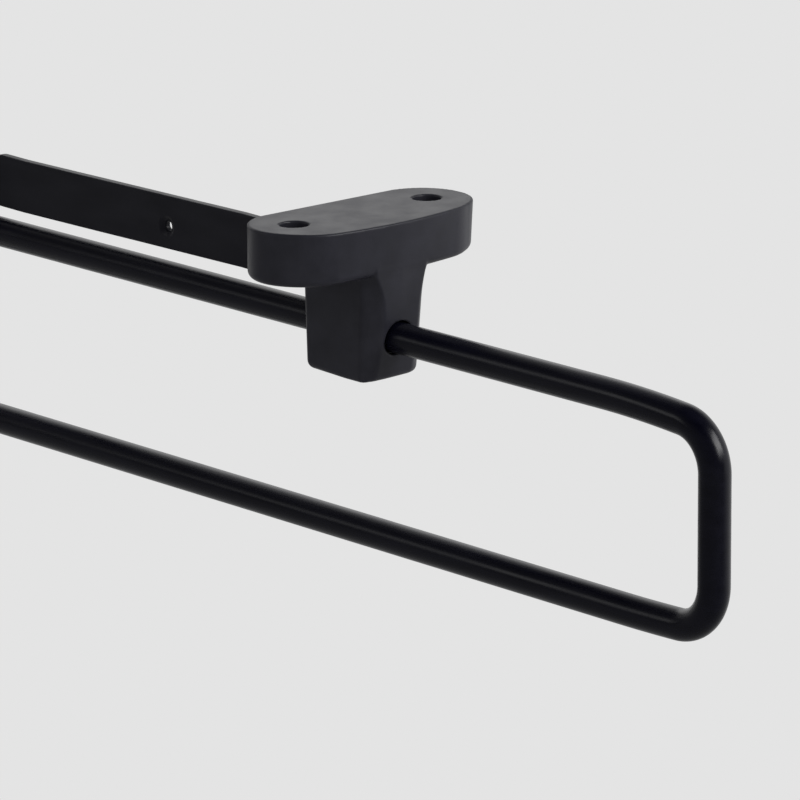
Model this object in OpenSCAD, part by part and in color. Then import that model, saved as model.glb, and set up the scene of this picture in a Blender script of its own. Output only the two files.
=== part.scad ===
// Pull-out wardrobe rail. A round rod, bent into a loop, slides through two
// moulded brackets that screw up under a shelf. A flat steel bar joins the
// brackets, and a rider on the rod straddles it, so the loop can't swing.
//
// Frame: the origin is in the middle of the front bracket's top face, against
// the shelf, between its two screw holes. X points the way the loop pulls out,
// Y runs along that bracket's row of holes and Z points up.

/* [Shelf bracket] */
// Distance between the two shelf screw holes of a bracket
hole_spacing = 44; // [36:1:60]
// Diameter of a shelf screw hole
hole_d = 7.4; // [5:0.2:9]
// Diameter of the countersink round a shelf screw hole, on the underside
sink_d = 10.8; // [9.5:0.2:14]
// Depth of that countersink
sink_depth = 2.4; // [1.5:0.1:4]
// Overall length of the plate, along the row of holes
plate_l = 66.4; // [64:0.1:80]
// Radius of the plate's round ends, which is half its width
plate_r = 13.3; // [13:0.1:15]
// How far the plate's outer side bows out past that half width, at its top edge
plate_bow = 3.5; // [2:0.1:4]
// Length of that bow along the row of holes
bow_l = 48; // [42:1:50]
// How far the bowed side leans back at the plate's lower edge
plate_lean = 1.2; // [0.5:0.1:2]
// Thickness of the plate
plate_t = 13.2; // [11:0.1:15]
// Radius of the plate's lower edge
plate_edge_r = 2; // [1:0.1:3]
// Distance from the front bracket's centre to the rear bracket's centre
bracket_pitch = 198; // [190:1:240]

/* [Bracket block] */
// Depth of the block where it leaves the plate, along the rod
block_l = 25.9; // [24:0.1:26.2]
// How far the block's rear face stands in from the plate's rear side
block_inset = 0.2; // [0.1:0.1:1]
// Width of the block where it leaves the plate
block_top_w = 22.2; // [20:0.1:24]
// Width of the block at its foot
block_foot_w = 15; // [14.6:0.1:18]
// How far the block's outer face leans back at its foot
block_lean = 2.5; // [1:0.1:3]
// How far the block's rear face leans in at its foot
block_rear_lean = 1.6; // [0:0.1:2]
// Distance from the plate's top face down to the block's foot
block_drop = 41.2; // [40:0.1:46]
// Radius of the block's upright edges
block_edge_r = 1.6; // [1:0.1:2.5]
// Radius round the block's foot
block_foot_r = 2.2; // [1.5:0.1:3]
// Distance from the row of holes to the front of the nose that the rod leaves through
nose_reach = 14; // [13.6:0.1:15]
// Diameter of the nose at its front
nose_d = 12; // [11.4:0.1:13]
// Diameter of the mouth in the nose
mouth_d = 9; // [8.6:0.1:10]
// Depth of that mouth in front of the bush
mouth_depth = 3; // [2:0.1:5]

/* [Rod loop] */
// Diameter of the rod
rod_d = 8; // [7.4:0.1:8.4]
// Distance from the plate's top face down to the upper rod's axis
rod_drop = 30.2; // [29.8:0.1:32]
// Distance between the axes of the upper and the lower rod
rod_span = 52.6; // [46:0.1:80]
// Reach of the loop's front upright past the front bracket's centre, pushed in
loop_reach = 126.7; // [110:0.1:150]
// Overall length of the loop, with the end piece that joins its rods
loop_len = 500; // [490:1:560]
// Radius of the rod's axis in both bends
bend_r = 13.6; // [10:0.1:20]

/* [Guide bar] */
// Thickness of the bar
bar_t = 2.5; // [2:0.1:3]
// Height of the bar between the brackets
bar_h = 14.2; // [12:0.1:14.6]
// Height of the bar's tongues, which enter the brackets
tongue_h = 7.4; // [6.6:0.1:8.4]
// Gap between the upper rod and the bar above it
bar_gap = 3.6; // [3.4:0.1:3.8]
// Radius of the bar's upper corners
shoulder_r = 6.8; // [3:0.1:6.8]
// Distance from the front bracket's centre to the bar's front shoulder
front_shoulder = 30; // [24:1:40]
// Distance from the front bracket's centre to the bar's rear shoulder
rear_shoulder = 152.2; // [146:0.1:153]
// Length of each tongue inside its bracket
tongue_depth = 16; // [13:0.5:20]
// Distance from the front bracket's centre to the bar's own hole
bar_hole_reach = 75.8; // [60:0.1:120]
// Height of that hole above the bar's lower edge
bar_hole_h = 6.1; // [5:0.1:8]
// Diameter of that hole
bar_hole_d = 3.4; // [3:0.1:4.4]
// Diameter of the countersink round that hole
bar_sink_d = 5.7; // [5:0.1:7]
// Depth of that countersink
bar_sink_depth = 1.2; // [0.8:0.1:1.6]

/* [Bush] */
// Outer diameter of the bush in each bracket
bush_d = 11; // [10.4:0.1:11.6]
// Radial running clearance between the bush and the rod
running_gap = 0.06; // [0.02:0.01:0.1]
// Length of the bush
bush_l = 20; // [15:0.5:21]
// Size of the chamfer at both ends of the bush's outside
bush_chamfer = 0.5; // [0.3:0.1:0.8]

/* [Rider and buffers] */
// Length of the rider along the rod
rider_l = 20; // [12:0.5:21]
// Width of the rider
rider_w = 14; // [13:0.5:16]
// Distance from the rod's axis down to the rider's lower face
rider_foot = 7.2; // [6.6:0.1:9]
// Distance from the rod's axis up to the tips of the rider's fork
fork_reach = 15; // [13:0.1:16]
// Gap between the bar and each side of the rider's fork
fork_gap = 0.3; // [0.2:0.05:0.5]
// Radius of the rider's long edges
rider_edge_r = 2; // [1:0.1:2.6]
// Diameter of the pin that holds the rider on the rod
pin_d = 2.5; // [2:0.1:3]
// Depth of each end of that pin below the rider's side
pin_inset = 0.5; // [0.2:0.1:1]
// Outer diameter of the rubber buffers
buffer_d = 13; // [12:0.5:14]
// Thickness of a rubber buffer
buffer_t = 3; // [2:0.5:4]
// Gap between the rear buffer and the rear bracket when the loop is in
stop_gap = 0.3; // [0.2:0.05:0.5]

/* [End piece] */
// Width of the end piece that joins the loop's rods at the back
end_w = 16; // [14:0.5:20]
// Thickness of the end piece
end_t = 12; // [11:0.5:16]
// Depth of the socket for each rod
socket_depth = 8.4; // [7:0.1:9]
// Radius of the end piece's rear edge
end_edge_r = 2; // [1:0.1:3]

/* [Screws] */
// Diameter of a screw's shank
shank_d = 4; // [3.5:0.1:4.4]
// Diameter of a pan head
pan_d = 7.4; // [6.8:0.1:8]
// Height of a pan head
pan_h = 2.5; // [2:0.1:3]
// Length of a bar screw under its head
bar_screw_l = 11.6; // [10:0.1:12.4]
// Depth of the pocket for a bar screw's head, below the block's side
head_pocket = 3.4; // [2.6:0.1:3.8]
// Diameter of a countersunk head
flat_d = 7.8; // [7:0.1:8.2]
// Length of an end screw
end_screw_l = 14; // [12:0.5:18]
// Width of the cross slot in a pan head
slot_w = 1; // [0.8:0.1:1.2]
// Length of that cross slot
slot_l = 4; // [3:0.1:4.6]
// Depth of that cross slot
slot_depth = 1.3; // [1:0.1:1.6]
// Width across the corners of the hexagon socket in a countersunk head
hex_d = 2.8; // [2.4:0.1:3]
// Depth of that hexagon socket
hex_depth = 1.7; // [1.2:0.1:2]

/* [Clearances] */
// Gap all round a piece that is pressed or pushed into its seat
press_gap = 0.02; // [0.01:0.01:0.04]
// Gap all round a tongue in its slot
slot_gap = 0.15; // [0.1:0.01:0.25]
// Room past the end of a piece in a blind hole
end_room = 0.4; // [0.2:0.1:0.8]

/* [Hidden] */
$fn = 64;

// How far a cut runs past the surface that it opens
over = 1;
// Facets round the rounded corners of a hull
hull_facets = 32;

// Half the distance between a bracket's shelf holes
hole_half = hole_spacing / 2;
// Half the distance between the centres of the plate's round ends
end_half = plate_l / 2 - plate_r;
// Where the bow meets the round ends, and its radius along the plate's top edge
bow_end_x = sqrt(plate_r * plate_r - (bow_l / 2 - end_half) * (bow_l / 2 - end_half));
bow_rise = plate_r + plate_bow - bow_end_x;
bow_r = (bow_rise * bow_rise + bow_l * bow_l / 4) / (2 * bow_rise);

// Heights, measured from the shelf
rod_z = -rod_drop;
low_rod_z = rod_z - rod_span;
bar_low = rod_z + rod_d / 2 + bar_gap;
tongue_mid = bar_low + tongue_h / 2;

// Places along the travel
block_back = block_inset - plate_r;
block_front = block_back + block_l;
tongue_end = block_back + tongue_depth;
bar_screw_x = block_back + tongue_depth / 2;
bush_end = nose_reach - mouth_depth;
bush_back = bush_end - bush_l;
loop_back = loop_reach + rod_d / 2 - loop_len;
rod_back = loop_back + end_t - socket_depth;
rear_buffer_x = -bracket_pitch - min(block_back, bush_back) + stop_gap;
rider_x = rear_buffer_x + buffer_t;
front_buffer_x = rider_x + rider_l;

// Half the block's width at the height of the bar screws
block_side_y = (block_top_w + (block_foot_w - block_top_w)
    * (-tongue_mid - plate_t) / (block_drop - plate_t)) / 2;
// Where a bar screw's head sits, on the block's far side
head_y = block_side_y - head_pocket;

// A rectangle with round corners about the origin
module round_rect(w, h, r) {
    square([w - 2 * r, h], center = true);
    square([w, h - 2 * r], center = true);
    for (x = [-1, 1], y = [-1, 1])
        translate([x * (w / 2 - r), y * (h / 2 - r)]) circle(r = r);
}

// Section of a slab from one reach to another, with a round lower outer edge
module slab_section(inner, outer, t, edge) {
    translate([inner, edge - t]) square([outer - inner, t - edge]);
    translate([inner, -t]) square([outer - inner - edge, t]);
    translate([outer - edge, edge - t]) circle(r = edge);
}

// One straight side of a slab, drawn outwards along X and half_l each way along Y
module slab_side(inner, outer, t, edge, half_l) {
    rotate([90, 0, 0]) linear_extrude(2 * half_l, center = true)
        slab_section(inner, outer, t, edge);
}

// A round bar in the XZ plane, from x towards +X
module along_x(x, z, l, d) {
    translate([x, 0, z]) rotate([0, 90, 0]) cylinder(h = l, d = d);
}

// The plate that lies against the shelf
module shelf_plate() {
    foot_r = bow_r - plate_lean;
    for (y = [-end_half, end_half]) translate([0, y, 0])
        rotate_extrude() slab_section(0, plate_r, plate_t, plate_edge_r);
    for (a = [0, 180]) rotate([0, 0, a])
        slab_side(-plate_edge_r, plate_r, plate_t, plate_edge_r, end_half);
    intersection() {
        translate([plate_r + plate_bow - bow_r, 0, -plate_t]) {
            cylinder(h = plate_edge_r, r1 = foot_r - plate_edge_r, r2 = foot_r);
            translate([0, 0, plate_edge_r])
                cylinder(h = plate_t - plate_edge_r, r1 = foot_r, r2 = bow_r);
        }
        translate([0, -bow_l / 2, -plate_t]) cube([plate_r + 2 * plate_bow, bow_l, plate_t]);
    }
}

// A short upright post inside the plate's lower edge, for a hull
module block_post(x, y) {
    translate([x, y, -plate_t]) cylinder(h = plate_edge_r, r = block_edge_r, $fn = hull_facets);
}

// The tapered block below the plate, with its round foot
module rod_block() {
    top_y = block_top_w / 2 - block_edge_r;
    foot_back = block_back + block_rear_lean + block_foot_r;
    foot_front = block_front - block_lean - block_foot_r;
    hull() {
        for (x = [block_back + block_edge_r, block_front - block_edge_r], y = [-top_y, top_y])
            block_post(x, y);
        for (x = [foot_back, foot_front], y = [-1, 1])
            translate([x, y * (block_foot_w / 2 - block_foot_r), block_foot_r - block_drop])
                sphere(r = block_foot_r, $fn = hull_facets);
    }
}

// The nose on the block's front, which carries the plate's bow down to the rod's mouth
module rod_nose() {
    hull() {
        for (y = [-1, 1]) block_post(block_front - block_edge_r, y * (block_top_w / 2 - block_edge_r));
        block_post(plate_r + plate_bow - plate_lean - plate_edge_r - block_edge_r, 0);
        translate([0, 0, rod_z]) rotate([0, 90, 0])
            cylinder(h = nose_reach, d = nose_d, $fn = hull_facets);
    }
}

// One moulded bracket about its own centre, its bowed side towards +X
module bracket() {
    difference() {
        union() {
            shelf_plate();
            rod_block();
            rod_nose();
        }
        for (y = [-hole_half, hole_half]) translate([0, y, 0]) {
            translate([0, 0, -plate_t - over]) cylinder(h = plate_t + 2 * over, d = hole_d);
            translate([0, 0, -plate_t]) cylinder(h = sink_depth, d1 = sink_d, d2 = hole_d);
            translate([0, 0, -plate_t - over]) cylinder(h = over, d = sink_d);
        }
        along_x(block_back - over, rod_z, bush_end - block_back + over, bush_d + 2 * press_gap);
        along_x(0, rod_z, nose_reach + over, mouth_d);
        translate([block_back - over, -bar_t / 2 - slot_gap, bar_low - slot_gap])
            cube([tongue_depth + end_room + over, bar_t + 2 * slot_gap, tongue_h + 2 * slot_gap]);
        translate([bar_screw_x, head_y - bar_screw_l - end_room, tongue_mid]) rotate([-90, 0, 0])
            cylinder(h = bar_screw_l + end_room + over, d = shank_d + 2 * press_gap);
        translate([bar_screw_x, head_y, tongue_mid]) rotate([-90, 0, 0])
            cylinder(h = head_pocket + block_top_w, d = pan_d + 2 * slot_gap);
    }
}

// One bush about its bracket's centre
module bush() {
    inner_d = rod_d + 2 * running_gap;
    difference() {
        union() {
            along_x(bush_back + bush_chamfer, rod_z, bush_l - 2 * bush_chamfer, bush_d);
            translate([bush_back, 0, rod_z]) rotate([0, 90, 0])
                cylinder(h = bush_chamfer, d1 = bush_d - 2 * bush_chamfer, d2 = bush_d);
            translate([bush_end - bush_chamfer, 0, rod_z]) rotate([0, 90, 0])
                cylinder(h = bush_chamfer, d1 = bush_d, d2 = bush_d - 2 * bush_chamfer);
        }
        along_x(bush_back - over, rod_z, bush_l + 2 * over, inner_d);
    }
}

// A pan-head screw with its head's underside at the origin, shank towards -Z
module pan_screw(l) {
    difference() {
        union() {
            translate([0, 0, -l]) cylinder(h = l, d = shank_d);
            cylinder(h = pan_h / 2, d = pan_d);
            translate([0, 0, pan_h / 2]) cylinder(h = pan_h / 2, d1 = pan_d, d2 = pan_d - pan_h);
        }
        for (a = [0, 90]) rotate([0, 0, a])
            translate([-slot_l / 2, -slot_w / 2, pan_h - slot_depth])
                cube([slot_l, slot_w, slot_depth + over]);
    }
}

// A countersunk screw with the top of its head at the origin, shank towards -Z
module flat_screw(l) {
    head_h = (flat_d - shank_d) / 2;
    difference() {
        union() {
            translate([0, 0, -l]) cylinder(h = l - head_h / 2, d = shank_d);
            translate([0, 0, -head_h]) cylinder(h = head_h, d1 = shank_d, d2 = flat_d);
        }
        translate([0, 0, -hex_depth]) cylinder(h = hex_depth + over, d = hex_d, $fn = 6);
    }
}

// A bend of the loop in the XZ plane, from the rod's straight end down to the upright
module rod_bend() {
    translate([0, 0, -bend_r]) rotate([90, 0, 0]) rotate_extrude(angle = 90)
        translate([bend_r, 0]) circle(d = rod_d);
}

module front_bracket() {
    color("#2b2b2e") bracket();
}

module rear_bracket() {
    color("#2b2b2e") translate([-bracket_pitch, 0, 0]) rotate([0, 0, 180]) bracket();
}

module front_bush() {
    color("#0f0f10") bush();
}

module rear_bush() {
    color("#0f0f10") translate([-bracket_pitch, 0, 0]) rotate([0, 0, 180]) bush();
}

module guide_bar() {
    rear_end = -bracket_pitch - tongue_end;
    raised_l = rear_shoulder - front_shoulder;
    color("#1c1c1f") difference() {
        translate([0, 0, bar_low]) rotate([90, 0, 0]) linear_extrude(bar_t, center = true) {
            translate([rear_end, 0]) square([tongue_end - rear_end, tongue_h]);
            translate([-rear_shoulder, 0]) square([raised_l, bar_h - shoulder_r]);
            translate([shoulder_r - rear_shoulder, 0]) square([raised_l - 2 * shoulder_r, bar_h]);
            for (x = [shoulder_r - rear_shoulder, -front_shoulder - shoulder_r])
                translate([x, bar_h - shoulder_r]) circle(r = shoulder_r);
        }
        translate([-bar_hole_reach, 0, bar_low + bar_hole_h]) rotate([90, 0, 0]) {
            cylinder(h = bar_t + 2 * over, d = bar_hole_d, center = true);
            translate([0, 0, bar_t / 2 - bar_sink_depth])
                cylinder(h = bar_sink_depth, d1 = bar_hole_d, d2 = bar_sink_d);
            translate([0, 0, bar_t / 2]) cylinder(h = over, d = bar_sink_d);
        }
        for (x = [bar_screw_x, -bracket_pitch - bar_screw_x])
            translate([x, 0, tongue_mid]) rotate([90, 0, 0])
                cylinder(h = bar_t + 2 * over, d = shank_d + 2 * slot_gap, center = true);
    }
}

module front_bar_screw() {
    color("#8d8f92") translate([bar_screw_x, head_y, tongue_mid]) rotate([-90, 0, 0])
        pan_screw(bar_screw_l);
}

module rear_bar_screw() {
    color("#8d8f92") translate([-bracket_pitch - bar_screw_x, -head_y, tongue_mid])
        rotate([90, 0, 0]) pan_screw(bar_screw_l);
}

module rod_loop() {
    straight_l = loop_reach - bend_r - rod_back;
    color("#151517") difference() {
        union() {
            for (z = [rod_z, low_rod_z]) along_x(rod_back, z, straight_l, rod_d);
            translate([rod_back + straight_l, 0, rod_z]) rod_bend();
            translate([rod_back + straight_l, 0, low_rod_z]) mirror([0, 0, 1]) rod_bend();
            translate([loop_reach, 0, low_rod_z + bend_r])
                cylinder(h = rod_span - 2 * bend_r, d = rod_d);
        }
        for (z = [rod_z, low_rod_z])
            along_x(loop_back, z, end_screw_l + end_room, shank_d + 2 * press_gap);
        translate([rider_x + rider_l / 2, 0, rod_z]) rotate([90, 0, 0])
            cylinder(h = rod_d + 2 * over, d = pin_d + 2 * press_gap, center = true);
    }
}

module slide_rider() {
    mid_z = rod_z + (fork_reach - rider_foot) / 2;
    fork_low = bar_low - fork_gap;
    color("#232326") difference() {
        translate([rider_x, 0, mid_z]) rotate([90, 0, 90]) linear_extrude(rider_l)
            round_rect(rider_w, fork_reach + rider_foot, rider_edge_r);
        along_x(rider_x - over, rod_z, rider_l + 2 * over, rod_d + 2 * press_gap);
        translate([rider_x - over, -bar_t / 2 - fork_gap, fork_low])
            cube([rider_l + 2 * over, bar_t + 2 * fork_gap, bar_h]);
        translate([rider_x + rider_l / 2, 0, rod_z]) rotate([90, 0, 0])
            cylinder(h = rider_w + 2 * over, d = pin_d + 2 * press_gap, center = true);
    }
}

module rider_pin() {
    color("#8d8f92") translate([rider_x + rider_l / 2, 0, rod_z]) rotate([90, 0, 0])
        cylinder(h = rider_w - 2 * pin_inset, d = pin_d, center = true);
}

// A rubber ring on the upper rod
module buffer(x) {
    color("#0d0d0e") translate([x, 0, rod_z]) rotate([0, 90, 0]) difference() {
        cylinder(h = buffer_t, d = buffer_d);
        translate([0, 0, -over]) cylinder(h = buffer_t + 2 * over, d = rod_d + 2 * press_gap);
    }
}

module front_buffer() {
    buffer(front_buffer_x);
}

module rear_buffer() {
    buffer(rear_buffer_x);
}

module rear_end_piece() {
    color("#232326") translate([loop_back + end_t, 0, rod_z - rod_span / 2]) rotate([0, 90, 0]) {
        difference() {
            union() {
                for (x = [-rod_span / 2, rod_span / 2]) translate([x, 0, 0])
                    rotate_extrude() slab_section(0, end_w / 2, end_t, end_edge_r);
                for (a = [-90, 90]) rotate([0, 0, a])
                    slab_side(-end_edge_r, end_w / 2, end_t, end_edge_r, rod_span / 2);
            }
            for (x = [-rod_span / 2, rod_span / 2]) translate([x, 0, 0]) {
                translate([0, 0, -socket_depth])
                    cylinder(h = socket_depth + over, d = rod_d + 2 * press_gap);
                translate([0, 0, -end_t - over])
                    cylinder(h = end_t + over, d = shank_d + 2 * press_gap);
                translate([0, 0, -end_t]) cylinder(h = (flat_d - shank_d) / 2 + press_gap,
                    d1 = flat_d + 2 * press_gap, d2 = shank_d);
                translate([0, 0, -end_t - over]) cylinder(h = over, d = flat_d + 2 * press_gap);
            }
        }
    }
}

module upper_end_screw() {
    color("#8d8f92") translate([loop_back, 0, rod_z]) rotate([0, -90, 0]) flat_screw(end_screw_l);
}

module lower_end_screw() {
    color("#8d8f92") translate([loop_back, 0, low_rod_z]) rotate([0, -90, 0]) flat_screw(end_screw_l);
}

front_bracket();
rear_bracket();
front_bush();
rear_bush();
guide_bar();
front_bar_screw();
rear_bar_screw();
rod_loop();
slide_rider();
rider_pin();
front_buffer();
rear_buffer();
rear_end_piece();
upper_end_screw();
lower_end_screw();
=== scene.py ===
from math import cos, pi, radians, sin

import bpy
import numpy as np
from mathutils import Matrix, Vector


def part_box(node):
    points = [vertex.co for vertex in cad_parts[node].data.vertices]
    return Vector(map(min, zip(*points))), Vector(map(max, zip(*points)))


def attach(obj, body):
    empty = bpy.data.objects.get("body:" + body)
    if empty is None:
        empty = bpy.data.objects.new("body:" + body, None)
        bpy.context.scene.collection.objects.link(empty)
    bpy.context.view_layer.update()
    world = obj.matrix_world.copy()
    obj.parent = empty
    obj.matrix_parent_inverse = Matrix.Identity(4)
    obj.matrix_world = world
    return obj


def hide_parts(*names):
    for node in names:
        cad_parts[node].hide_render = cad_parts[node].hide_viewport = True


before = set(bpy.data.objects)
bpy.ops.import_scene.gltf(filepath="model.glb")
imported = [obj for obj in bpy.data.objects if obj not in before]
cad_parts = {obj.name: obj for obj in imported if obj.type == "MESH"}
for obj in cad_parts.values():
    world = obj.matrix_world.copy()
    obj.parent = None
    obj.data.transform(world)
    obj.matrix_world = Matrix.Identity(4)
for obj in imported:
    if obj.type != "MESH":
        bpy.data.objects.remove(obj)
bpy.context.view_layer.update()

MM = 0.001


# Sizes in millimetres, from the frame where it holds them

def node_box(name):
    """Lowest and highest corners of a CAD node, in millimetres."""
    lo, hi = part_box(name)
    return np.array(lo) / MM, np.array(hi) / MM


bracket_lo, bracket_hi = node_box("front_bracket")
rear_hi = node_box("rear_bracket")[1]
loop_lo, loop_hi = node_box("rod_loop")
bar_lo, bar_hi = node_box("guide_bar")
rider_lo, rider_hi = node_box("slide_rider")
end_lo, end_hi = node_box("rear_end_piece")
bush_lo, bush_hi = node_box("front_bush")
pan_lo, pan_hi = node_box("front_bar_screw")
flat_lo, flat_hi = node_box("upper_end_screw")
pin_lo, pin_hi = node_box("rider_pin")

ROD_R = (loop_hi[1] - loop_lo[1]) / 2
ROD_Z = loop_hi[2] - ROD_R
LOW_ROD_Z = loop_lo[2] + ROD_R
LOOP_REACH = loop_hi[0] - ROD_R

# The bracket's plate, with its bowed front edge and its two screw holes
PLATE_R = -bracket_lo[0]
END_HALF = bracket_hi[1] - PLATE_R
END_LEAN = 0.95
PLATE_BOW = bracket_hi[0] - PLATE_R
BOW_HALF = 27.0
BOW_SHIFT = 3.0
BOW_EASE = 0.12
BOW_LEAN = 1.2
PLATE_T = 13.2
PLATE_TAPER = 0.015
PLATE_TOP_R = 0.5
PLATE_FOOT_R = 2.0
HOLE_HALF = 22.0
HOLE_R = 3.7
SINK_R = 5.4
SINK_DEPTH = 2.4
REAR_X = rear_hi[0] - PLATE_R

# The block under the plate
BLOCK_BACK = -11.3
BLOCK_FRONT = 12.8
BLOCK_LEAN = 2.1
BLOCK_TOP_HALF = 10.2
BLOCK_FOOT_HALF = 9.4
BLOCK_EDGE_R = 1.7
BLOCK_ROOT_R = 1.3
FOOT_R = 2.3
FOOT_R_SPREAD = 0.09
FOOT_R_LEAST = 1.2
FOOT_R_MOST = 3.4

# The nose on the block's front, and the rod's mouth in it
NOSE_TOP = 15.7
NOSE_SLOPE = 0.1
NOSE_CURVE = 0.00486
NOSE_HALF = 5.0
NOSE_FLARE = 3.5
NOSE_FAR_HALF = 5.6
NOSE_FAR_FLARE = 2.4
NOSE_TURN = 0.07
NOSE_FLARE_END = -24.0
NOSE_SINK = 0.35
MOUTH_R = 4.5
MOUTH_RIM_R = 0.3
RIM_R = 0.25

# The bushes in the brackets
BUSH_R = (bush_hi[1] - bush_lo[1]) / 2
BUSH_GAP = 0.06
BUSH_EDGE_R = 0.5
BUSH_RIM_R = 0.3

# The guide bar
BAR_T = bar_hi[1] - bar_lo[1]
BAR_EDGE_R = 0.35
TONGUE_H = 7.4
SHOULDER_R = 6.8
SHOULDER_ROOT_R = 2.5
REAR_SHOULDER_X = -152.2
FRONT_SHOULDER_X = -30.0
BAR_HOLE_X = -75.8
BAR_HOLE_Z = bar_lo[2] + 6.1
BAR_HOLE_R = 1.35
BAR_SINK_R = 2.8
BAR_SINK_DEPTH = 0.75
BAR_TILT = 0.007
TILT_START = 16.0
SLOT_GAP = 0.15

# The loop's bends: a slight lead curve, then a tight bend
UPPER_LEAD = (320.0, radians(5.1))
LOWER_LEAD = (600.0, radians(1.8))
UPPER_BEND_R = 11.7
LOWER_BEND_R = 12.2

# The loop's broken ends, and how many places its centre line and its section have
END_BREAK = 0.5
STRAIGHT_PLACES = 60
LEAD_PLACES = 8
BEND_PLACES = 28
ROUND_PLACES = 48

# The rider with its pin and buffers, and the end piece
FORK_GAP = 0.3
FORK_RIM_R = 0.4
RIDER_EDGE_R = 2.0
RIDER_END_R = 0.8
PIN_HOLE_R = 1.25
PIN_EDGE_R = 0.3
BUFFER_EDGE_R = 0.8
BUFFER_RIM_R = 0.2
END_EDGE_R = 2.0
END_FACE_R = 0.5
END_RIM_R = 0.15

# The screws
SHANK_R = 2.0
PAN_R = (pan_hi[0] - pan_lo[0]) / 2
PAN_X = (pan_lo[0] + pan_hi[0]) / 2
PAN_Z = (pan_lo[2] + pan_hi[2]) / 2
PAN_H = 2.5
PAN_SEAT = pan_hi[1] - PAN_H
PAN_RISE = 1.3
PAN_EDGE_R = 0.5
SHANK_OVERLAP = 1.0
CROSS_HALF = 2.0
CROSS_W = 0.5
CROSS_DEPTH = 1.3
CROSS_RIM_R = 0.15
FLAT_R = (flat_hi[1] - flat_lo[1]) / 2
FLAT_H = FLAT_R - SHANK_R
FLAT_GAP = 0.05
HEX_HALF = 1.25
HEX_DEPTH = 1.7
HEX_RIM_R = 0.12

# How finely a field is meshed on to its surface
SETTLE_PASSES = 3
PROBE_SHARE = 0.05
LEAST_SLOPE = 0.25


# Solids as distance fields: a field is below zero inside its solid

def round_max(a, b, r):
    """Where both fields are inside, with an edge of radius r."""
    return np.minimum(-r, np.maximum(a, b)) + np.hypot(np.maximum(a + r, 0), np.maximum(b + r, 0))


def round_min(a, b, r):
    """Where either field is inside, with a fillet of radius r between them."""
    return np.maximum(r, np.minimum(a, b)) - np.hypot(np.maximum(r - a, 0), np.maximum(r - b, 0))


def cut(body, hole, rim=RIM_R):
    """The body with the hole taken out, its rim rounded."""
    return round_max(body, -hole, rim)


def rect(u, v, half_u, half_v, r):
    """A rectangle with corners of radius r about the origin."""
    a, b = np.abs(u) - half_u + r, np.abs(v) - half_v + r
    return np.hypot(np.maximum(a, 0), np.maximum(b, 0)) + np.minimum(np.maximum(a, b), 0) - r


def stadium(u, v, half, r):
    """A strip with round ends: v runs along it and its ends are centred at half each way."""
    return np.hypot(u, v - np.clip(v, -half, half)) - r


def span(u, lo, hi):
    """Everything between two planes."""
    return np.maximum(lo - u, u - hi)


def ease(t):
    """A soft step from 0 to 1."""
    t = np.clip(t, 0, 1)
    return t ** 2 * (3 - 2 * t)


def grow(u, start, depth, r_start, r_end):
    """Radius of a cone that goes from r_start to r_end over a depth."""
    return r_start + (r_end - r_start) * np.clip((u - start) / depth, 0, 1)


def cell_points(value, grid, step):
    """Sum of the places where the surface crosses each grid cell's edges, and how many it crosses."""
    count = value.shape
    cells = tuple(n - 1 for n in count)
    total = np.zeros((3,) + cells)
    crossings = np.zeros(cells)
    for k in range(3):
        a = np.take(value, range(count[k] - 1), axis=k)
        b = np.take(value, range(1, count[k]), axis=k)
        crossed = (a < 0) != (b < 0)
        share = np.where(crossed, a / np.where(crossed, a - b, 1), 0)
        point = np.stack([np.take(g, range(count[k] - 1), axis=k) for g in grid])
        point[k] += share * step
        u, v = [m for m in range(3) if m != k]
        for i in (0, 1):
            for j in (0, 1):
                pick = [slice(None)] * 3
                pick[u] = slice(i, count[u] - 1 + i)
                pick[v] = slice(j, count[v] - 1 + j)
                pick = tuple(pick)
                total += np.where(crossed[pick], point[(slice(None),) + pick], 0)
                crossings += crossed[pick]
    return total, crossings


def cell_faces(value, number):
    """A face round each grid edge that the surface crosses, turned outwards."""
    count = value.shape
    faces = []
    for k in range(3):
        u, v = (k + 1) % 3, (k + 2) % 3
        inner = [slice(1, n - 1) for n in count]
        inner[k] = slice(0, count[k] - 1)
        after = list(inner)
        after[k] = slice(1, count[k])
        a, b = value[tuple(inner)] < 0, value[tuple(after)] < 0
        place = np.argwhere(a != b)
        place[:, u] += 1
        place[:, v] += 1
        corners = []
        for du, dv in ((1, 1), (0, 1), (0, 0), (1, 0)):
            p = place.copy()
            p[:, u] -= du
            p[:, v] -= dv
            corners.append(number[tuple(p.T)])
        face = np.stack(corners, axis=1)
        outward = a[a != b]
        face[~outward] = face[~outward][:, ::-1]
        faces.append(face)
    return np.concatenate(faces)


def settle(points, field, step):
    """Moves points along the field's slope until they lie on its surface."""
    probe = step * PROBE_SHARE
    for _ in range(SETTLE_PASSES):
        slope = np.stack([field(*(points + d).T) - field(*(points - d).T)
                          for d in np.eye(3) * probe], axis=1) / (2 * probe)
        size = np.maximum((slope ** 2).sum(axis=1), LEAST_SLOPE)
        move = -(field(*points.T) / size)[:, None] * slope
        points = points + np.clip(move, -step / 2, step / 2)
    return points


def net(name, field, lo, hi, step):
    """Meshes a field: one point in each grid cell that its surface crosses, settled on the surface."""
    lo, hi = np.array(lo) - 2 * step, np.array(hi) + 2 * step
    count = np.ceil((hi - lo) / step).astype(int) + 1
    axes = [lo[k] + step * np.arange(count[k]) for k in range(3)]
    grid = np.stack(np.meshgrid(*axes, indexing="ij"))
    value = field(*grid)
    total, crossings = cell_points(value, grid, step)
    used = crossings > 0
    number = np.full(used.shape, -1)
    number[used] = np.arange(used.sum())
    points = (total[:, used] / crossings[used]).T
    return build(name, settle(points, field, step), cell_faces(value, number).tolist())


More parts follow.
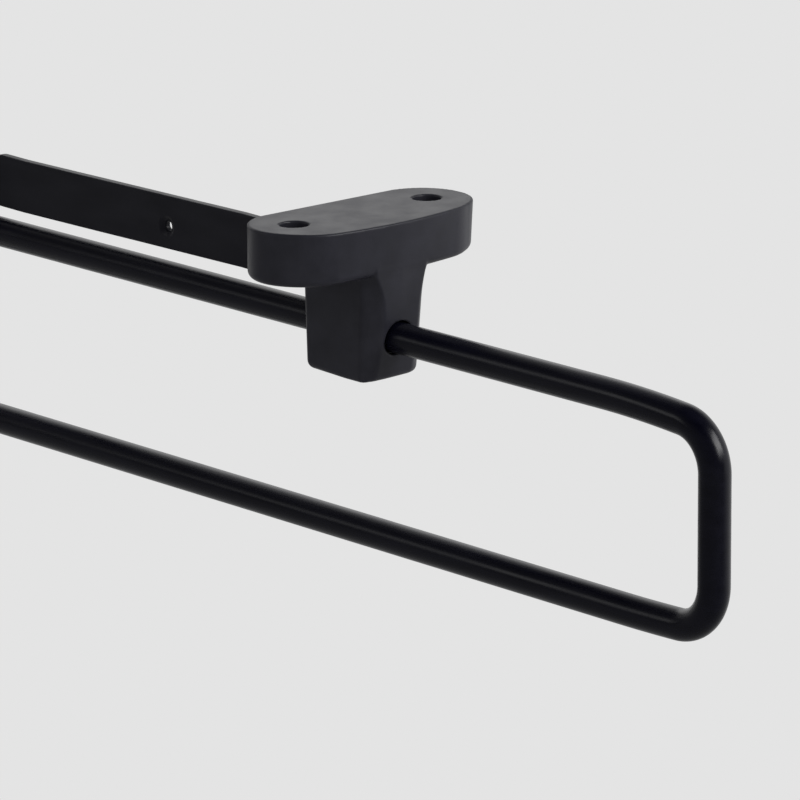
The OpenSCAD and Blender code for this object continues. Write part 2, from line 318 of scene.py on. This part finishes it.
def build(name, points, faces):
    """A smooth-shaded object from points in millimetres and a list of faces."""
    mesh = bpy.data.meshes.new(name)
    mesh.from_pydata((np.asarray(points) * MM).tolist(), [], faces)
    mesh.shade_smooth()
    piece = bpy.data.objects.new(name, mesh)
    bpy.context.scene.collection.objects.link(piece)
    return piece


def stand_for(piece, node, body, material):
    """Puts a finished piece in the place of its CAD node."""
    piece.data.materials.append(material)
    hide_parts(node)
    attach(piece, body)


# Colours and nodes

def linear(code):
    """A colour written as sRGB hex, as the linear values that Blender wants."""
    parts = [int(code[i:i + 2], 16) / 255 for i in (1, 3, 5)]
    return [v / 12.92 if v <= 0.04045 else ((v + 0.055) / 1.055) ** 2.4 for v in parts] + [1.0]


def add(tree, kind, settings=None, **links):
    """Adds a node. Settings go to its properties or input values, links join its inputs to outputs."""
    made = tree.nodes.new(kind)
    for key, value in (settings or {}).items():
        if hasattr(made, key):
            setattr(made, key, value)
        else:
            made.inputs[int(key) if key.isdigit() else key].default_value = value
    for key, output in links.items():
        key = key.replace("_", " ")
        tree.links.new(output, made.inputs[int(key[3:]) if key.startswith("in ") else key])
    return made


def new_material(name):
    """An empty node material, and the tree that its nodes go into."""
    material = bpy.data.materials.new(name)
    material.use_nodes = True
    tree = material.node_tree
    tree.nodes.clear()
    return material, tree


def per_mm(size):
    """Scale of a pattern whose features are that many millimetres apart, over coordinates in metres."""
    return 1 / (size * MM)


def surface(name, colours, roughness, grain_mm, grain_depth, mottle_mm, values,
            stretch=(1, 1, 1), waves=None):
    """A finish: two near colours mottled together, a roughness that wanders, and a fine relief.
    Sizes and depths of the patterns are in millimetres."""
    material, tree = new_material(name)
    place = add(tree, "ShaderNodeTexCoord")
    drawn = add(tree, "ShaderNodeMapping", {"Scale": stretch}, Vector=place.outputs["Object"])
    mottle = add(tree, "ShaderNodeTexNoise",
                 {"Scale": per_mm(mottle_mm), "Detail": 4.0, "Roughness": 0.55},
                 Vector=drawn.outputs["Vector"])
    colour = add(tree, "ShaderNodeMix", {"data_type": "RGBA"})
    spread = add(tree, "ShaderNodeMapRange", {"From Min": 0.35, "From Max": 0.65},
                 Value=mottle.outputs["Fac"])
    tree.links.new(spread.outputs["Result"], colour.inputs[0])
    colour.inputs[6].default_value = linear(colours[0])
    colour.inputs[7].default_value = linear(colours[1])
    rough = add(tree, "ShaderNodeMapRange", {"To Min": roughness[0], "To Max": roughness[1]},
                Value=spread.outputs["Result"])
    grain = add(tree, "ShaderNodeTexNoise",
                {"Scale": per_mm(grain_mm), "Detail": 2.0, "Roughness": 0.6},
                Vector=place.outputs["Object"])
    relief = add(tree, "ShaderNodeBump", {"Strength": 1.0, "Distance": grain_depth * MM},
                 Height=grain.outputs["Fac"])
    if waves:
        wave_mm, wave_depth = waves
        swell = add(tree, "ShaderNodeTexNoise", {"Scale": per_mm(wave_mm), "Detail": 1.0},
                    Vector=drawn.outputs["Vector"])
        relief = add(tree, "ShaderNodeBump", {"Strength": 1.0, "Distance": wave_depth * MM},
                     Height=swell.outputs["Fac"], Normal=relief.outputs["Normal"])
    shader = add(tree, "ShaderNodeBsdfPrincipled", values, Base_Color=colour.outputs[2],
                 Roughness=rough.outputs["Result"], Normal=relief.outputs["Normal"])
    add(tree, "ShaderNodeOutputMaterial", Surface=shader.outputs["BSDF"])
    return material


def moulded_nylon():
    """Glass-filled nylon from a spark-eroded mould: charcoal, an even dull grain that hides
    fingerprints, and faint flow clouding on the broad faces. The grain, about 0.1 mm on the real
    one, is drawn five times coarser so that it shows."""
    return surface("moulded_nylon", ("#222228", "#28282f"), roughness=(0.34, 0.42),
                   grain_mm=0.5, grain_depth=0.012, mottle_mm=9.0,
                   values={"IOR": 1.5, "Specular IOR Level": 0.22}, waves=(7.0, 0.03))


def moulded_acetal():
    """Moulded acetal of the sliding parts: black, a waxy low sheen and almost no grain. What there
    is of it is drawn coarser than the real one so that it shows."""
    return surface("moulded_acetal", ("#141415", "#19191b"), roughness=(0.36, 0.44),
                   grain_mm=0.6, grain_depth=0.006, mottle_mm=6.0,
                   values={"IOR": 1.48, "Specular IOR Level": 0.45})


def powder_coated_rod():
    """Powder coat on drawn round steel: black satin with a slight orange peel that breaks up the
    highlights, and soft rub streaks along the rod."""
    return surface("powder_coated_rod", ("#05050f", "#090915"), roughness=(0.23, 0.3),
                   grain_mm=0.9, grain_depth=0.008, mottle_mm=3.0,
                   values={"IOR": 1.5, "Specular IOR Level": 0.28},
                   stretch=(0.12, 1, 1), waves=(5.0, 0.02))


def powder_coated_strip():
    """The same coat on rolled flat steel: a duller black, with the orange peel lying flatter."""
    return surface("powder_coated_strip", ("#121219", "#18181f"), roughness=(0.34, 0.42),
                   grain_mm=0.8, grain_depth=0.01, mottle_mm=5.0,
                   values={"IOR": 1.5, "Specular IOR Level": 0.2}, stretch=(0.3, 1, 1))


def turned_acetal():
    """Bushes turned from black acetal rod: fine tool marks and a soft shine where the rod runs. The
    marks, a few hundredths of a millimetre apart on the real one, are drawn at 0.2 mm to show."""
    return surface("turned_acetal", ("#0a0a0b", "#0e0e0f"), roughness=(0.3, 0.42),
                   grain_mm=0.4, grain_depth=0.01, mottle_mm=0.8,
                   values={"IOR": 1.48, "Specular IOR Level": 0.4}, stretch=(4, 1, 1))


def moulded_rubber():
    """Black rubber of the buffers: dead matt with a dusty bloom."""
    return surface("moulded_rubber", ("#111112", "#1a1a1b"), roughness=(0.72, 0.86),
                   grain_mm=0.4, grain_depth=0.015, mottle_mm=2.0,
                   values={"IOR": 1.52, "Specular IOR Level": 0.35})


def zinc_plate():
    """Bright zinc on the screws and the pin: a cool grey metal, slightly cloudy from the bath. Its
    fine crystals are drawn at 0.5 mm to show."""
    return surface("zinc_plate", ("#a9adb2", "#c3c6ca"), roughness=(0.24, 0.38),
                   grain_mm=0.5, grain_depth=0.004, mottle_mm=1.5, values={"Metallic": 1.0})


# Pieces

def block_field(x, y, z):
    """The block under the plate. A nose swells from its front, wide under the plate and
    narrowing to the rod's mouth, and its foot is rounder away from the near front corner."""
    under = -z - PLATE_T
    below = np.clip(under / (-bracket_lo[2] - PLATE_T), 0, 1)
    half_y = BLOCK_TOP_HALF + (BLOCK_FOOT_HALF - BLOCK_TOP_HALF) * below
    front = BLOCK_FRONT - BLOCK_LEAN * below
    flare = np.clip((z - NOSE_FLARE_END) / (-PLATE_T - NOSE_FLARE_END), 0, 1)
    near_half = NOSE_HALF + NOSE_FLARE * flare ** 2
    far_half = NOSE_FAR_HALF + NOSE_FAR_FLARE * flare ** 2
    nose_half = np.where(y > 0, far_half, near_half)
    crest = NOSE_TOP - NOSE_SLOPE * under - NOSE_CURVE * under * (ROD_Z - z)
    crest = crest - NOSE_SINK * np.maximum(-under, 0) - NOSE_TURN * np.maximum(y, 0) * flare
    front = front + (crest - front) * ease((half_y - np.abs(y)) / (half_y - nose_half))
    block = rect(x - (front + BLOCK_BACK) / 2, y, (front - BLOCK_BACK) / 2, half_y, BLOCK_EDGE_R)
    foot_r = np.clip(FOOT_R + FOOT_R_SPREAD * (y - x), FOOT_R_LEAST, FOOT_R_MOST)
    return round_max(block, bracket_lo[2] - z, foot_r)


def bracket_field(x, y, z):
    """The moulded bracket about its own centre, its bowed side towards +X. The bow fades softly
    into the round ends, and the far end draws in towards its foot."""
    down = np.clip(-z, 0, PLATE_T) / PLATE_T
    bow = 1 - ((y + BOW_SHIFT) / BOW_HALF) ** 2
    bow = np.clip(np.hypot(np.maximum(bow + BOW_EASE, 0), BOW_EASE) - BOW_EASE, 0, 1)
    bow = bow * (PLATE_BOW - BOW_LEAN * down) * ease(x / PLATE_R)
    drawn_in = y + END_LEAN * down * np.clip(y / END_HALF, 0, 1)
    underside = PLATE_T - PLATE_TAPER * y
    plate = round_max(stadium(x, drawn_in, END_HALF, PLATE_R) - bow, -underside - z, PLATE_FOOT_R)
    body = round_max(round_min(plate, block_field(x, y, z), BLOCK_ROOT_R), z, PLATE_TOP_R)
    hole = np.hypot(x, np.abs(y) - HOLE_HALF)
    body = cut(body, hole - grow(z, -PLATE_T, SINK_DEPTH, SINK_R, HOLE_R))
    around_rod = np.hypot(y, z - ROD_Z)
    body = cut(body, np.maximum(around_rod - MOUTH_R, -x), MOUTH_RIM_R)
    body = cut(body, np.maximum(around_rod - BUSH_R, x - bush_hi[0]))
    slot = span(z, bar_lo[2] - SLOT_GAP, bar_lo[2] + TONGUE_H + SLOT_GAP)
    slot = np.maximum(slot, np.abs(y) - BAR_T / 2 - SLOT_GAP)
    body = cut(body, np.maximum(slot, x - bar_hi[0] - SLOT_GAP))
    around_screw = np.hypot(x - PAN_X, z - PAN_Z)
    body = cut(body, np.maximum(around_screw - PAN_R - SLOT_GAP, PAN_SEAT - y))
    return cut(body, np.maximum(around_screw - SHANK_R, pan_lo[1] - y))


def rear_bracket_field(x, y, z):
    """The same moulding, turned round at the rear."""
    return bracket_field(REAR_X - x, -y, z)


def guide_bar_field(x, y, z):
    """The strip on edge: a raised middle with round shoulders and a tongue at each end."""
    middle = (REAR_SHOULDER_X + FRONT_SHOULDER_X) / 2
    raised_half = (FRONT_SHOULDER_X - REAR_SHOULDER_X) / 2
    tilt = BAR_TILT * (x - middle) * np.clip((raised_half - np.abs(x - middle)) / TILT_START, 0, 1)
    up = z - bar_lo[2] - tilt
    height = bar_hi[2] - bar_lo[2]
    raised = rect(x - middle, up, raised_half, height, SHOULDER_R)
    tongues = span(up, -TONGUE_H, TONGUE_H)
    side = round_min(raised, tongues, SHOULDER_ROOT_R)
    side = np.maximum(np.maximum(side, -up), span(x, bar_lo[0], bar_hi[0]))
    body = round_max(side, np.abs(y) - BAR_T / 2, BAR_EDGE_R)
    hole = np.hypot(x - BAR_HOLE_X, z - BAR_HOLE_Z)
    return cut(body, hole - grow(y, -BAR_T / 2, BAR_SINK_DEPTH, BAR_SINK_R, BAR_HOLE_R), RIM_R / 2)


def rider_field(x, y, z):
    """The rider: a block round the rod with a fork that straddles the bar."""
    middle = (rider_lo + rider_hi) / 2
    half = (rider_hi - rider_lo) / 2
    body = rect(y, z - middle[2], half[1], half[2], RIDER_EDGE_R)
    body = round_max(body, np.abs(x - middle[0]) - half[0], RIDER_END_R)
    fork = np.maximum(np.abs(y) - BAR_T / 2 - FORK_GAP, bar_lo[2] - FORK_GAP - z)
    body = cut(body, fork, FORK_RIM_R)
    body = cut(body, np.hypot(x - middle[0], z - ROD_Z) - PIN_HOLE_R)
    return cut(body, np.hypot(y, z - ROD_Z) - ROD_R)


def end_piece_field(x, y, z):
    """The end piece that joins the two rods at the back."""
    middle = (end_lo + end_hi) / 2
    half_w, half_h = (end_hi[1] - end_lo[1]) / 2, (end_hi[2] - end_lo[2]) / 2
    up = z - middle[2]
    body = stadium(y, up, half_h - half_w, half_w)
    body = round_max(body, end_lo[0] - x, END_EDGE_R)
    body = round_max(body, x - end_hi[0], END_FACE_R)
    either = np.hypot(y, np.abs(up) - (half_h - half_w))
    body = cut(body, np.maximum(either - ROD_R, loop_lo[0] - x))
    seat = grow(x, end_lo[0], FLAT_H, FLAT_R + FLAT_GAP, SHANK_R)
    return cut(body, either - seat, END_RIM_R)


def bush_field(x, y, z):
    """The front bush."""
    away = np.hypot(y, z - ROD_Z)
    body = round_max(away - BUSH_R, span(x, bush_lo[0], bush_hi[0]), BUSH_EDGE_R)
    return cut(body, away - ROD_R - BUSH_GAP, BUSH_RIM_R)


def rear_bush_field(x, y, z):
    """The same bush at the rear."""
    return bush_field(REAR_X - x, -y, z)


def pan_screw_field(x, y, z):
    """The front bar screw, its domed head towards +Y, with a cross slot."""
    across = x - PAN_X
    up = z - PAN_Z
    away = np.hypot(across, up)
    dome_r = PAN_R ** 2 / (2 * PAN_RISE)
    dome = np.hypot(away, y - (pan_hi[1] - dome_r)) - dome_r
    head = round_max(np.maximum(away - PAN_R, PAN_SEAT - y), dome, PAN_EDGE_R)
    shank = np.maximum(away - SHANK_R, span(y, pan_lo[1], PAN_SEAT + SHANK_OVERLAP))
    bars = np.minimum(np.maximum(np.abs(across) - CROSS_HALF, np.abs(up) - CROSS_W),
                      np.maximum(np.abs(up) - CROSS_HALF, np.abs(across) - CROSS_W))
    cross = np.maximum(bars, pan_hi[1] - CROSS_DEPTH - y)
    return cut(np.minimum(head, shank), cross, CROSS_RIM_R)


def rear_pan_screw_field(x, y, z):
    """The same screw in the rear bracket, from the other side."""
    return pan_screw_field(REAR_X - x, -y, z)


def flat_screw_field(x, y, z):
    """The upper end screw, flush in the end piece, with a hexagon socket."""
    up = z - ROD_Z
    head_and_shank = np.hypot(y, up) - grow(x, flat_lo[0], FLAT_H, FLAT_R, SHANK_R)
    body = np.maximum(head_and_shank, span(x, flat_lo[0], flat_hi[0]))
    turned = [np.abs(y * cos(a) + up * sin(a)) for a in (0, pi / 3, 2 * pi / 3)]
    socket = np.maximum.reduce(turned) - HEX_HALF
    return cut(body, np.maximum(socket, x - flat_lo[0] - HEX_DEPTH), HEX_RIM_R)


def low_flat_screw_field(x, y, z):
    """The same screw on the lower rod."""
    return flat_screw_field(x, y, z + ROD_Z - LOW_ROD_Z)


def buffer_field(lo, hi):
    """A rubber ring on the upper rod between two places."""
    def field(x, y, z):
        away = np.hypot(y, z - ROD_Z)
        outer = (hi[1] - lo[1]) / 2
        ring = round_max(away - outer, span(x, lo[0], hi[0]), BUFFER_EDGE_R)
        return cut(ring, away - ROD_R, BUFFER_RIM_R)
    return field


def pin_field(x, y, z):
    """The pin across the rider."""
    away = np.hypot(x - (pin_lo[0] + pin_hi[0]) / 2, z - ROD_Z)
    return round_max(away - (pin_hi[0] - pin_lo[0]) / 2, span(y, pin_lo[1], pin_hi[1]), PIN_EDGE_R)


def half_loop(lead, bend_r, z, side):
    """Centre line of one rod from its back end to the middle of the upright, with tangents.
    Side is 1 where the rod bends down and -1 where it bends up."""
    lead_r, lead_a = lead
    start = LOOP_REACH - (lead_r - bend_r) * sin(lead_a) - bend_r
    first = loop_lo[0] + END_BREAK
    path = [(x, z, 1.0, 0.0) for x in (loop_lo[0], *np.linspace(first, start, STRAIGHT_PLACES)[:-1])]
    for a in np.linspace(0, lead_a, LEAD_PLACES):
        path.append((start + lead_r * sin(a), z - side * lead_r * (1 - cos(a)), cos(a), -side * sin(a)))
    mid_x = LOOP_REACH - bend_r
    mid_z = z - side * (lead_r - (lead_r - bend_r) * cos(lead_a))
    for a in np.linspace(lead_a, pi / 2, BEND_PLACES)[1:]:
        path.append((mid_x + bend_r * sin(a), mid_z + side * bend_r * cos(a), cos(a), -side * sin(a)))
    return path


def loop_path():
    """The loop's centre line in its plane, from the upper rod's back end to the lower rod's."""
    upper = half_loop(UPPER_LEAD, UPPER_BEND_R, ROD_Z, 1)
    lower = half_loop(LOWER_LEAD, LOWER_BEND_R, LOW_ROD_Z, -1)
    return upper + [(x, z, -tx, -tz) for x, z, tx, tz in reversed(lower)]


def rod_loop():
    """The bent rod as a tube of round sections along its centre line, with its ends slightly broken.
    A section's places run clockwise seen along the rod, and the faces' order turns them outwards."""
    path = loop_path()
    last = len(path) - 1
    points, faces = [], []
    for i, (x, z, tx, tz) in enumerate(path):
        r = ROD_R - END_BREAK if i in (0, last) else ROD_R
        for k in range(ROUND_PLACES):
            a = 2 * pi * k / ROUND_PLACES
            points.append((x - tz * r * cos(a), r * sin(a), z + tx * r * cos(a)))
    for i in range(last):
        here, ahead = i * ROUND_PLACES, (i + 1) * ROUND_PLACES
        for k in range(ROUND_PLACES):
            n = (k + 1) % ROUND_PLACES
            faces.append((here + k, ahead + k, ahead + n, here + n))
    end = last * ROUND_PLACES
    faces += [tuple(range(ROUND_PLACES)), tuple(reversed(range(end, end + ROUND_PLACES)))]
    piece = build("rod_loop_coated", points, faces)
    piece.data.validate()
    return piece


FIXED, MOVING = "fixed_frame", "pull_out_loop"


def make_pieces():
    """Every piece, in the place of its CAD node and on its body."""
    nylon, acetal, rubber, zinc = moulded_nylon(), moulded_acetal(), moulded_rubber(), zinc_plate()
    bush_finish = turned_acetal()
    # Node, its field, the mesh's step in millimetres, its body and its finish
    rows = [
        ("front_bracket", bracket_field, 0.4, FIXED, nylon),
        ("rear_bracket", rear_bracket_field, 0.4, FIXED, nylon),
        ("front_bush", bush_field, 0.35, FIXED, bush_finish),
        ("rear_bush", rear_bush_field, 0.35, FIXED, bush_finish),
        ("guide_bar", guide_bar_field, 0.35, FIXED, powder_coated_strip()),
        ("front_bar_screw", pan_screw_field, 0.2, FIXED, zinc),
        ("rear_bar_screw", rear_pan_screw_field, 0.2, FIXED, zinc),
        ("slide_rider", rider_field, 0.35, MOVING, acetal),
        ("rider_pin", pin_field, 0.2, MOVING, zinc),
        ("front_buffer", buffer_field(*node_box("front_buffer")), 0.3, MOVING, rubber),
        ("rear_buffer", buffer_field(*node_box("rear_buffer")), 0.3, MOVING, rubber),
        ("rear_end_piece", end_piece_field, 0.4, MOVING, acetal),
        ("upper_end_screw", flat_screw_field, 0.2, MOVING, zinc),
        ("lower_end_screw", low_flat_screw_field, 0.2, MOVING, zinc),
    ]
    for node, field, step, body, material in rows:
        piece = net(node + "_finished", field, *node_box(node), step)
        stand_for(piece, node, body, material)
    stand_for(rod_loop(), "rod_loop", MOVING, powder_coated_rod())


# Camera, floor and light. Places are in metres here, and the camera's in millimetres.

CAMERA_PLACE = (1088.5, -945.1, 327.3)
CAMERA_YAW = radians(48.66)
CAMERA_PITCH = radians(14.63)
CAMERA_ROLL = radians(-0.44)
FOCAL_PX = 5906.0
PICTURE_PX = 800.0
SENSOR_MM = 36.0
SEEN_FROM = 0.05
SEEN_TO = 60.0

# The studio: pale towards its lit side, and dark overhead and on its near side
PALE = linear("#e4e4e4")
LIT_SIDE = (-0.35, 0.94, 0.0)
FLOOR_Z = -0.45
FLOOR_R = 14.0
FLOOR_DIM = 0.22
FLOOR_DIM_END = -0.3
FLOOR_FULL_START = 1.2
PLAIN_START = 0.6
PLAIN_END = 0.9
WORLD_LEVEL = 0.75
LOW_END = 0.4
HIGH_START = 0.85
HIGH_LEVEL = 0.03
NEAR_LEVEL = 0.12
LIT_START = 0.45
AIM = (0.0, 0.0, -0.03)


def make_camera():
    """A long lens at the photograph's place and angle."""
    level = Vector((cos(CAMERA_YAW), sin(CAMERA_YAW), 0))
    forward = Vector((-sin(CAMERA_YAW), cos(CAMERA_YAW), 0))
    ahead = forward * cos(CAMERA_PITCH) - Vector((0, 0, sin(CAMERA_PITCH)))
    above = level.cross(ahead)
    right = level * cos(CAMERA_ROLL) + above * sin(CAMERA_ROLL)
    up = above * cos(CAMERA_ROLL) - level * sin(CAMERA_ROLL)
    lens = bpy.data.cameras.new("camera")
    lens.sensor_fit = "HORIZONTAL"
    lens.sensor_width = SENSOR_MM
    lens.lens = SENSOR_MM * FOCAL_PX / PICTURE_PX
    lens.clip_start = SEEN_FROM
    lens.clip_end = SEEN_TO
    camera = bpy.data.objects.new("camera", lens)
    turn = Matrix((right, up, -ahead)).transposed().to_4x4()
    camera.matrix_world = Matrix.Translation(Vector(CAMERA_PLACE) * MM) @ turn
    bpy.context.scene.collection.objects.link(camera)
    bpy.context.scene.camera = camera


def soft_step(start, end, low, high):
    """Map range settings for a soft step from low to high as a value goes from start to end."""
    return {"interpolation_type": "SMOOTHSTEP", "From Min": start, "From Max": end,
            "To Min": low, "To Max": high}


def toward_lit_side(tree, place):
    """How far a place or a direction lies towards the lit side of the studio."""
    made = add(tree, "ShaderNodeVectorMath", {"operation": "DOT_PRODUCT", "1": LIT_SIDE}, in_0=place)
    return made.outputs["Value"]


def seen_plainly(tree, path):
    """One for what the eye sees, also through something clear, and nought for light and reflections."""
    made = add(tree, "ShaderNodeMath", {"operation": "MAXIMUM"}, in_0=path.outputs["Is Camera Ray"],
               in_1=path.outputs["Is Transmission Ray"])
    return made.outputs[0]


def floor_material():
    """Matt and pale round the object, where it takes the shadow, and an even pale tone further back.
    In reflections it is pale towards the backdrop and dim towards the dark side of the studio."""
    material, tree = new_material("pale_floor")
    place = add(tree, "ShaderNodeTexCoord")
    toward = toward_lit_side(tree, place.outputs["Object"])
    path = add(tree, "ShaderNodeLightPath")
    seen = seen_plainly(tree, path)
    away = add(tree, "ShaderNodeVectorMath", {"operation": "LENGTH"}, in_0=place.outputs["Object"])
    far = add(tree, "ShaderNodeMapRange", soft_step(PLAIN_START, PLAIN_END, 0.0, 1.0),
              Value=away.outputs["Value"])
    far_seen = add(tree, "ShaderNodeMath", {"operation": "MULTIPLY"}, in_0=seen,
                   in_1=far.outputs["Result"])
    plain_share = add(tree, "ShaderNodeMath", {"operation": "MAXIMUM"}, in_0=far_seen.outputs[0],
                      in_1=path.outputs["Is Glossy Ray"])
    mirrored = add(tree, "ShaderNodeMapRange", soft_step(FLOOR_DIM_END, FLOOR_FULL_START, FLOOR_DIM, 1.0),
                   Value=toward)
    level = add(tree, "ShaderNodeMath", {"operation": "MAXIMUM"}, in_0=seen,
                in_1=mirrored.outputs["Result"])
    matt = add(tree, "ShaderNodeBsdfDiffuse", {"Color": PALE})
    plain = add(tree, "ShaderNodeEmission", {"Color": PALE}, Strength=level.outputs[0])
    both = add(tree, "ShaderNodeMixShader", Fac=plain_share.outputs[0], in_1=matt.outputs[0],
               in_2=plain.outputs[0])
    add(tree, "ShaderNodeOutputMaterial", Surface=both.outputs[0])
    return material


def make_floor():
    """A wide floor under the object."""
    mesh = bpy.data.meshes.new("floor")
    corners = [(x * FLOOR_R, y * FLOOR_R, FLOOR_Z) for x, y in ((-1, -1), (1, -1), (1, 1), (-1, 1))]
    mesh.from_pydata(corners, [], [(0, 1, 2, 3)])
    mesh.materials.append(floor_material())
    floor = bpy.data.objects.new("floor", mesh)
    bpy.context.scene.collection.objects.link(floor)


def make_world():
    """Pale all round to the eye and as plain light. In reflections it is pale low down towards the
    backdrop, and dark overhead and on the near side."""
    world = bpy.data.worlds.new("studio")
    bpy.context.scene.world = world
    world.use_nodes = True
    tree = world.node_tree
    tree.nodes.clear()
    place = add(tree, "ShaderNodeTexCoord")
    parts = add(tree, "ShaderNodeSeparateXYZ", Vector=place.outputs["Generated"])
    toward = toward_lit_side(tree, place.outputs["Generated"])
    low = add(tree, "ShaderNodeMapRange", soft_step(LOW_END, HIGH_START, 1.0, HIGH_LEVEL),
              Value=parts.outputs["Z"])
    lit = add(tree, "ShaderNodeMapRange", soft_step(0.0, LIT_START, NEAR_LEVEL, 1.0), Value=toward)
    mirrored = add(tree, "ShaderNodeMath", {"operation": "MULTIPLY"}, in_0=low.outputs["Result"],
                   in_1=lit.outputs["Result"])
    path = add(tree, "ShaderNodeLightPath")
    level = add(tree, "ShaderNodeMix", {"data_type": "FLOAT", "A": WORLD_LEVEL},
                Factor=path.outputs["Is Glossy Ray"], B=mirrored.outputs[0])
    shown = add(tree, "ShaderNodeMath", {"operation": "MAXIMUM"}, in_0=level.outputs[0],
                in_1=seen_plainly(tree, path))
    sky = add(tree, "ShaderNodeBackground", {"Color": PALE}, Strength=shown.outputs[0])
    add(tree, "ShaderNodeOutputWorld", Surface=sky.outputs[0])


def make_light(name, toward, distance, size, watts, aim=AIM):
    """A soft light of a width and height that faces a point from a direction."""
    lamp = bpy.data.lights.new(name, "AREA")
    lamp.shape = "RECTANGLE"
    lamp.size, lamp.size_y = size
    lamp.energy = watts
    reach = Vector(toward).normalized() * distance
    light = bpy.data.objects.new(name, lamp)
    light.visible_camera = False
    turn = reach.to_track_quat("Z", "Y").to_matrix().to_4x4()
    light.matrix_world = Matrix.Translation(reach + Vector(aim)) @ turn
    bpy.context.scene.collection.objects.link(light)


def make_lights():
    """A main softbox to the right, a low one behind for the plate's top, and a strip that draws the
    rods' highlight line."""
    make_light("right_softbox", toward=(0.7, 0.3, 0.54), distance=1.6, size=(1.15, 0.8), watts=20.0)
    make_light("back_softbox", toward=(-0.73, 0.6, 0.36), distance=2.0, size=(1.6, 0.7), watts=1.2)
    make_light("left_strip", toward=(-0.66, -0.7, 0.27), distance=1.5, size=(0.5, 0.34), watts=0.6,
               aim=(0.12, 0.0, -0.03))


make_pieces()
make_camera()
make_floor()
make_world()
make_lights()
bpy.context.scene.view_settings.view_transform = "Standard"
